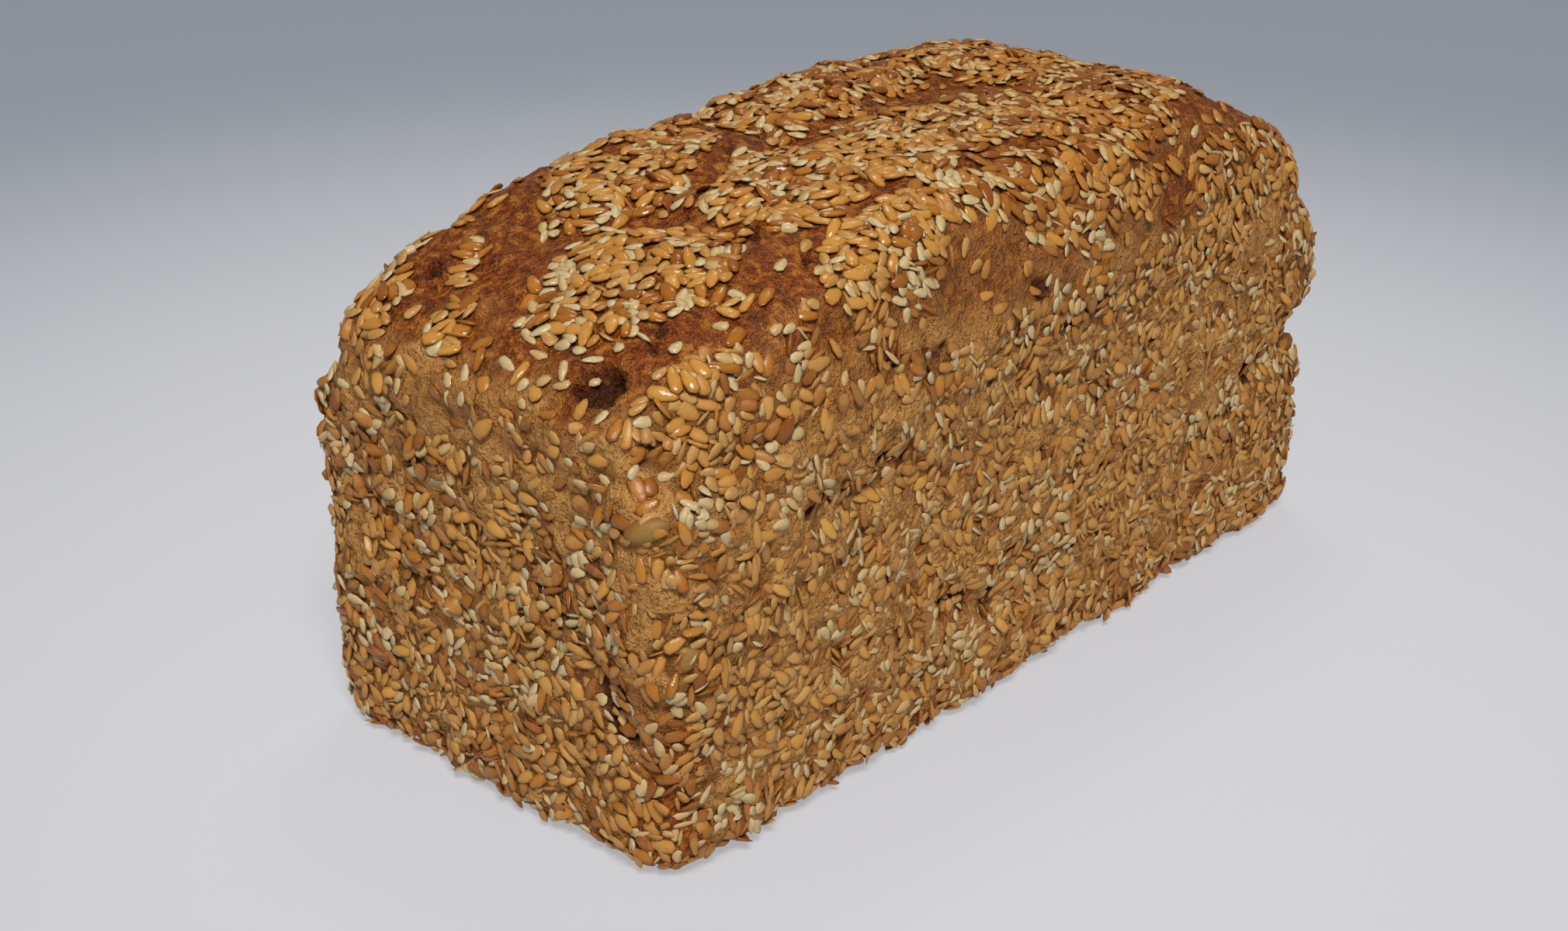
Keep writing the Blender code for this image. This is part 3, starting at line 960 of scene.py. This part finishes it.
def make_crust(look):
    """The loaf's crust: a sliced cube shaped to the loaf, then given its relief."""
    bpy.ops.object.select_all(action="DESELECT")
    bpy.ops.mesh.primitive_cube_add(size=2)
    loaf = bpy.context.object
    loaf.name = loaf.data.name = "crust"
    for axis, size in enumerate((LENGTH, WIDTH, SHOULDER)):
        slice_along(loaf, axis, size / look.cell)
    clear_base(loaf)
    mesh = loaf.data
    cube = read_points(mesh)
    smooth = loaf_points(cube)
    write_points(mesh, smooth)
    at_base = cube[:, 2] < -ON_FACE
    normals = read_normals(mesh)
    sunk = blister_depth(smooth) + crack_depth(smooth)
    crumb = unevenness(smooth, CRUMB)
    crumb *= DOUGH_CRUMB + (1 - DOUGH_CRUMB) * top_share(smooth)
    cover = seed_cover(smooth)
    swollen = DOUGH_SWELL * (1 - cover) * (1 - top_share(smooth))
    swollen += unevenness(smooth, NODULES)
    uneven = np.where(at_base, 0, main_relief(smooth) + swollen)
    write_points(mesh, smooth + normals * uneven[:, None])
    keep_directions(mesh, "lay", read_normals(mesh))
    rise = uneven + np.where(at_base, 0, crumb - sunk)
    shaped = smooth + normals * rise[:, None]
    low = np.array(PACKED_LOW) + (SEED_STAND, SEED_STAND, BASE_GAP)
    high = np.array(PACKED_HIGH) - SEED_STAND
    write_points(mesh, place_in_box(shaped, low, high))
    # painted shade in the folds, added to that in the hollows and cracks
    deep = groove_depth(smooth, FOLDS[:1]) * NOTCH_SHADE
    deep += groove_depth(smooth, FOLDS[1:]) * FOLD_SHADE
    # baked is the crust's own browning; low, packed and sunk place painted shade
    keep_values(
        mesh,
        baked=bakedness(smooth),
        packed=cover * (1 - DUSTY_LESS_SHADE * dustiness(smooth)),
        low=smooth_step(*LOW_FROM, crumb + swollen - sunk),
        cover=np.where(at_base, BASE_COVER, cover),
        sunk=smooth_step(*SUNK_FROM, sunk + deep),
    )
    smooth_shading(mesh)
    mesh.materials.append(crust_material(look))
    return loaf


# Seeds


class Surface:
    """The crust as triangles, for drawing random places on it."""

    def __init__(self, crust):
        mesh = crust.data
        mesh.calc_loop_triangles()
        self.corners = read(mesh.loop_triangles, "vertices", 3, np.int32)
        self.points = read_points(mesh)
        self.normals = read_kept(mesh, "lay")
        self.cover = read_kept(mesh, "cover")
        first, second, third = (self.points[self.corners[:, i]] for i in range(3))
        self.areas = np.linalg.norm(np.cross(second - first, third - first), axis=1) / 2

    def draw(self, rng, count):
        """Random places, more of them where the cover is thick: points and normals."""
        weight = self.areas * self.cover[self.corners].mean(axis=1)
        picked = self.corners[rng.choice(len(weight), count, p=weight / weight.sum())]
        shares = rng.dirichlet((1, 1, 1), count)[:, :, None]
        points = (self.points[picked] * shares).sum(axis=1)
        return points, unit((self.normals[picked] * shares).sum(axis=1))


class SeedField:
    """Remembers where seeds lie, as short lines, so that a new one can keep clear of them."""

    CELL = 5.5 * MM
    FAR = 9.0  # how close the nearest seed is where there is none
    AROUND = [(a, b, c) for a in (-1, 0, 1) for b in (-1, 0, 1) for c in (-1, 0, 1)]

    def __init__(self):
        self.cells = {}

    def cell(self, point):
        return tuple(np.floor(point / self.CELL).astype(int).tolist())

    def keep(self, point, line, half_width):
        self.cells.setdefault(self.cell(point), []).append((line, half_width))

    def closeness(self, point, lines, half_width):
        """How near each of the lines tried comes to a kept seed: 1 is touching, 0 is on it."""
        i, j, k = self.cell(point)
        near = []
        for a, b, c in self.AROUND:
            near += self.cells.get((i + a, j + b, k + c), ())
        if not near:
            return np.full(len(lines), self.FAR)
        others = np.array([line for line, _ in near])
        widths = np.array([width for _, width in near])
        gaps = lines[:, None, :, None, :] - others[None, :, None, :, :]
        gaps = np.sqrt((gaps**2).sum(axis=-1)).min(axis=(2, 3))
        return (gaps / (widths + half_width)).min(axis=1)


def seed_shape(length, width, thickness, tip, segments, rings=4):
    """One seed lying along X: a sphere flattened to a drop, with its pointed end at +X."""
    bpy.ops.object.select_all(action="DESELECT")
    bpy.ops.mesh.primitive_uv_sphere_add(
        segments=segments, ring_count=rings, radius=0.5, rotation=(math.pi / 2, 0, math.pi / 2)
    )
    bpy.ops.object.transform_apply(rotation=True)
    bpy.ops.transform.resize(value=(length, width, thickness))
    bpy.ops.object.transform_apply(scale=True)
    seed = bpy.context.object
    points = read_points(seed.data)
    along = points[:, 0] / (length / 2)
    lens = np.abs(points[:, 2]) / (thickness / 2)
    points[:, 2] *= lens**LENS_POWER
    points[:, 1:] *= (1 - tip * along)[:, None]
    faces = [tuple(face.vertices) for face in seed.data.polygons]
    bpy.data.objects.remove(seed)
    across = np.abs(points[:, 1]) / (width / 2)
    rim = np.clip(np.hypot(along, across), 0, 1)
    # the last value marks the underside, which takes painted shade
    return points, faces, rim, smooth_step(0.25, -0.25, points[:, 2] / thickness)


def seed_kind(length, reach, clear, width, thickness, tip, segments):
    """The line and half width that a seed needs to itself, and its shape."""
    room = {"reach": reach * length, "half_width": clear * length}
    return room, seed_shape(length, width * length, thickness * length, tip, segments)


def lay_seeds(field, surface, rng, kind, overlap, tries, most):
    """Draws places and keeps those where a seed fits, each turned the way that fits best."""
    points, normals = surface.draw(rng, tries)
    turns = rng.uniform(0, math.pi, (tries, TURNS_TRIED))
    steps = kind["reach"] * np.array([-1, 0, 1])[None, :, None]
    laid = []
    for point, normal, turn in zip(points, normals, turns):
        level = np.cross(normal, (0, 0, 1) if abs(normal[2]) < MOSTLY else (1, 0, 0))
        level /= np.linalg.norm(level)
        steep = np.cross(normal, level)
        ways = np.cos(turn)[:, None] * level + np.sin(turn)[:, None] * steep
        lines = point + steps * ways[:, None, :]
        close = field.closeness(point, lines, kind["half_width"])
        best = close.argmax()
        if close[best] < overlap:
            continue
        field.keep(point, lines[best], kind["half_width"])
        laid.append((point, ways[best], normal))
        if len(laid) == most:
            break
    return [np.array(part) for part in zip(*laid)]


def settle(laid, rng, lift):
    """Tilts, turns and lifts seeds from where they were laid: their middles, axes and tops."""
    points, along, normals = laid
    count = len(points)
    top = top_share(points) * smooth_step(0.3, 0.7, normals[:, 2])
    under = normals[:, 2] < -MOSTLY
    tilt = np.radians(np.where(under, UNDER_TILT, WALL_TILT + (TOP_TILT - WALL_TILT) * top))
    up = unit(normals + rng.normal(0, 1, (count, 3)) * np.tan(tilt)[:, None])
    on_edge = (rng.random(count) < EDGE_SHARE * (1 - TOP_FLATTER * top)) & ~under
    edgewise = unit(EDGE_LEAN * normals + np.cross(normals, along))
    up = np.where(on_edge[:, None], edgewise, up)
    along = along * rng.choice((-1, 1), count)[:, None]
    along = unit(along - up * (along * up).sum(axis=1)[:, None])
    jitter = SINK_JITTER * rng.random(count)
    sunk = SINK_SPREAD * (lumpiness(points, *SINK_LUMPS) + jitter - SINK_JITTER / 2)
    sunk += DUSTY_SUNK * dustiness(points)
    rise = lift + top * HEAPED * rng.random(count) - on_edge * EDGE_SUNK - (1 - top) * sunk
    rise = np.where(under, UNDER_LIFT, rise)
    axes = np.stack([along, np.cross(up, along), up], axis=2)
    return points + normals * rise[:, None], axes, top


def seed_skins(middles, top, rng):
    """How browned, toasted, shiny and dusty each seed is."""
    count = len(middles)
    tone = rng.random(count)
    far = smooth_step(*FAR_FROM, middles[:, 0])
    toast = (rng.random(count) ** 3) * (WALL_TOAST + TOP_TOAST * top) + FAR_TOASTED * far * top
    toast += browning(middles) * (1 - top)
    shine = np.maximum(WALL_SHINE * rng.random(count) ** 2, TOP_SHINE * top)
    shine += CORNER_SHINE * smooth_step(*GLOSSY_FROM, in_ellipsoid(middles, *GLOSSY))
    dusty = dustiness(middles)
    shine *= 1 - DUSTY_DULL * dusty
    return {"tone": tone, "toast": toast, "shine": shine, "dusty": dusty}


def join_seeds(name, shape, laid, rng, material):
    """One mesh of many copies of a seed, each of its own size and tone."""
    points, faces, rim, under = shape
    middles, axes, top = laid
    count, corners = len(middles), len(points)
    sizes = rng.normal(1, SIZE_SPREAD, (count, 3)).clip(*SIZE_RANGE)
    sizes *= (1 + TOP_LARGER * top)[:, None]
    placed = np.einsum("nij,npj->npi", axes, points * sizes[:, None, :]) + middles[:, None, :]
    placed[:, :, 2] = np.maximum(placed[:, :, 2], FLOOR_GAP)
    starts = range(0, count * corners, corners)
    all_faces = [[corner + start for corner in face] for start in starts for face in faces]
    skins = seed_skins(middles, top, rng)
    values = {label: np.repeat(skin, corners) for label, skin in skins.items()}
    # under marks the undersides, which take painted shade
    values.update(rim=np.tile(rim, count), under=np.tile(under, count))
    return new_piece(name, placed.reshape(-1, 3).tolist(), all_faces, values, material)


def make_seeds(crust, look):
    """All the seeds: linseeds first, then sesame between them, then some that peek out below."""
    rng = np.random.default_rng(RANDOM_SEED)
    surface, field = Surface(crust), SeedField()
    linseed, drop = seed_kind(look.linseed_length, *LINSEED)
    sesame, flat = seed_kind(look.sesame_length, *SESAME)
    linseeds, sesames = [], []
    for overlap, lift, share in LAYERS:
        for kind, most, laid_seeds in (
            (linseed, int(share * look.most_linseeds), linseeds),
            (sesame, int(share * look.most_sesame), sesames),
        ):
            laid = lay_seeds(field, surface, rng, kind, overlap, TRIES * most, most)
            laid_seeds.append(settle(laid, rng, lift))
    toasted, golden = split(linseeds, rng, look.toasted_share, TOP_TOASTED)
    pale, tan = split(sesames, rng, look.pale_share, TOP_PALE)
    kinds = (  # name, shape, seeds, colour, browner colour, roughness, and if the rim is browner
        ("linseeds_golden", drop, golden, look.golden, look.toasted, 0.13, True),
        ("linseeds_toasted", drop, toasted, look.toasted, look.burnt_and_underside_shade, 0.14, True),
        ("sesame_pale", flat, pale, look.pale, look.tan, 0.27, False),
        ("sesame_tan", flat, tan, look.tan, look.toasted, 0.29, False),
    )
    pieces = []
    for name, shape, laid, colour, brown, gloss, rim_browned in kinds:
        # the burnt colour is also the painted shade of the undersides
        colours = (colour, brown, look.dust, look.burnt_and_underside_shade)
        material = seed_material(name, colours, gloss, rim_browned)
        pieces.append(join_seeds(name, shape, laid, rng, material))
    return pieces


def split(groups, rng, share, on_top):
    """Parts the seeds of all layers at random into two kinds, in other shares on the top."""
    every = [np.concatenate(part) for part in zip(*groups)]
    patchy = unevenness(every[0], PATCHINESS)
    first = rng.random(len(every[0])) < share + patchy + (on_top - share) * every[2]
    return [part[first] for part in every], [part[~first] for part in every]


def make_grains(crust, look):
    """The few larger grains, each half sunk in the crust where it lies."""
    points, normals = read_points(crust.data), read_kept(crust.data, "lay")
    base, faces, rim, under = seed_shape(1, 1, 1, *GRAIN)
    placed, all_faces = [], []
    for place, length, width, thickness, turn in GRAINS:
        near = np.linalg.norm(points - np.array(place) * MM, axis=1).argmin()
        up = normals[near]
        level = unit(np.cross((0, 0, 1), up)[None])[0]
        steep = np.cross(up, level)
        angle = math.radians(turn)
        along = math.cos(angle) * level + math.sin(angle) * steep
        axes = np.stack([along, np.cross(up, along), up], axis=1)
        size = np.array((length, width, thickness)) * MM
        middle = points[near] + up * thickness * GRAIN_SHOWS * MM
        all_faces += [[corner + len(placed) for corner in face] for face in faces]
        placed += ((base * size) @ axes.T + middle).tolist()
    values = {name: np.full(len(placed), value) for name, value in GRAIN_SKIN.items()}
    values.update(rim=np.tile(rim, len(GRAINS)), under=np.tile(under, len(GRAINS)))
    # the burnt colour is also the painted shade of the undersides
    colours = (look.grain, look.burnt_and_underside_shade, look.grain, look.burnt_and_underside_shade)
    material = seed_material("grain", colours, GRAIN_GLOSS, True)
    return new_piece("grains", placed, all_faces, values, material)


# Stage


def floor_material(look):
    """A floor with a painted pool of light, pale round the loaf and blue-grey far from it."""
    nodes = Nodes("floor")
    far = nodes.add("ShaderNodeVectorMath", {0: nodes.place}, operation="LENGTH").outputs["Value"]
    # painted pool of light: pale round the loaf, darker and bluer further off
    near = nodes.remap(far, *FLOOR_FADE_FROM)
    colour = nodes.mix(near, look.floor, look.backdrop_shade)
    # the floor also glows of itself, painted light that lifts the shadows on it
    return nodes.finish(
        Base_Color=nodes.mix(1.0 - FLOOR_GLOW, (0, 0, 0, 1), colour),
        Roughness=0.9,
        Specular_IOR_Level=0.1,
        Emission_Color=colour,
        Emission_Strength=FLOOR_GLOW * FLOOR_GLOW_LEVEL,
    )


def make_stage(look):
    """Floor, soft lights and the camera at the photo's angle."""
    bpy.ops.object.select_all(action="DESELECT")
    bpy.ops.mesh.primitive_plane_add(size=FLOOR_SIZE)
    floor = bpy.context.object
    floor.name = "floor"
    floor.data.materials.append(floor_material(look))
    for name, place, size, share in LIGHTS:
        bpy.ops.object.light_add(type="AREA", location=place)
        light = bpy.context.object
        light.name = name
        light.data.size = size
        light.data.energy = look.key_power * share
        light.rotation_euler = (LOAF_MIDDLE - Vector(place)).to_track_quat("-Z", "Y").to_euler()
    world = bpy.data.worlds.new("studio")
    world.use_nodes = True
    background = world.node_tree.nodes["Background"]
    background.inputs["Color"].default_value = FILL_COLOUR
    background.inputs["Strength"].default_value = look.fill_strength
    scene = bpy.context.scene
    scene.world = world
    scene.view_settings.view_transform = "Standard"
    bpy.ops.object.camera_add()
    camera = bpy.context.object
    camera.name = "camera"
    camera.data.sensor_fit = "HORIZONTAL"
    camera.data.sensor_width = SENSOR
    camera.data.lens = CAMERA_LENS
    camera.data.clip_start = 0.01
    camera.matrix_world = camera_matrix()
    scene.camera = camera


def camera_matrix():
    """Where the camera stands and how it is turned, from its measured angles."""
    pitch, yaw, roll = (math.radians(angle) for angle in CAMERA_ANGLES)
    ahead = Vector(
        (math.cos(yaw) * math.cos(pitch), math.sin(yaw) * math.cos(pitch), -math.sin(pitch))
    )
    level = Vector((math.sin(yaw), -math.cos(yaw), 0))
    above = level.cross(ahead)
    right = math.cos(roll) * level + math.sin(roll) * above
    up = math.cos(roll) * above - math.sin(roll) * level
    turned = Matrix((right, up, -ahead)).transposed()
    return Matrix.Translation(CAMERA_PLACE) @ turned.to_4x4()


# Operators


def hand_over(piece):
    """Makes a piece move with the loaf's root body."""
    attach(piece, "root")


class BREAD_OT_crust(Operator):
    """Shape the loaf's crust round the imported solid"""

    bl_idname = "bread.crust"
    bl_label = "Bake Crust"

    def execute(self, context):
        crust = make_crust(context.scene.bread_crust)
        hand_over(crust)
        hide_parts("loaf")
        return {"FINISHED"}


class BREAD_OT_seeds(Operator):
    """Strew the crust with linseed and sesame"""

    bl_idname = "bread.seeds"
    bl_label = "Strew Seeds"

    def execute(self, context):
        crust = bpy.data.objects["crust"]
        for piece in make_seeds(crust, context.scene.bread_seeds):
            hand_over(piece)
        return {"FINISHED"}


class BREAD_OT_grains(Operator):
    """Set the few larger grains in the crust"""

    bl_idname = "bread.grains"
    bl_label = "Set Grains"

    def execute(self, context):
        crust = bpy.data.objects["crust"]
        hand_over(make_grains(crust, context.scene.bread_seeds))
        return {"FINISHED"}


class BREAD_OT_stage(Operator):
    """Add the floor, the lights and the camera"""

    bl_idname = "bread.stage"
    bl_label = "Set Stage"

    def execute(self, context):
        make_stage(context.scene.bread_stage)
        return {"FINISHED"}


OPERATORS = (BREAD_OT_crust, BREAD_OT_seeds, BREAD_OT_grains, BREAD_OT_stage)


class BREAD_PT_panel(Panel):
    """Lists the steps of making the loaf, with their sizes and colours"""

    bl_idname = "BREAD_PT_panel"
    bl_label = "Roasted Grain Bread"
    bl_space_type = "VIEW_3D"
    bl_region_type = "UI"
    bl_category = "Bread"

    def draw(self, context):
        layout = self.layout
        for operator in OPERATORS:
            layout.operator(operator.bl_idname)
        for name in SETTINGS:
            box = layout.box()
            settings = getattr(context.scene, name)
            for prop in settings.bl_rna.properties:
                if prop.identifier not in ("rna_type", "name"):
                    box.prop(settings, prop.identifier)


SETTINGS = {
    "bread_crust": CrustSettings,
    "bread_seeds": SeedSettings,
    "bread_stage": StageSettings,
}
CLASSES = (*SETTINGS.values(), *OPERATORS, BREAD_PT_panel)


def register():
    for item in CLASSES:
        bpy.utils.register_class(item)
    for name, settings in SETTINGS.items():
        setattr(bpy.types.Scene, name, PointerProperty(type=settings))


def unregister():
    for name in SETTINGS:
        delattr(bpy.types.Scene, name)
    for item in reversed(CLASSES):
        bpy.utils.unregister_class(item)


def main():
    register()
    bpy.ops.bread.crust()
    bpy.ops.bread.seeds()
    bpy.ops.bread.grains()
    bpy.ops.bread.stage()


if __name__ == "__main__":
    main()
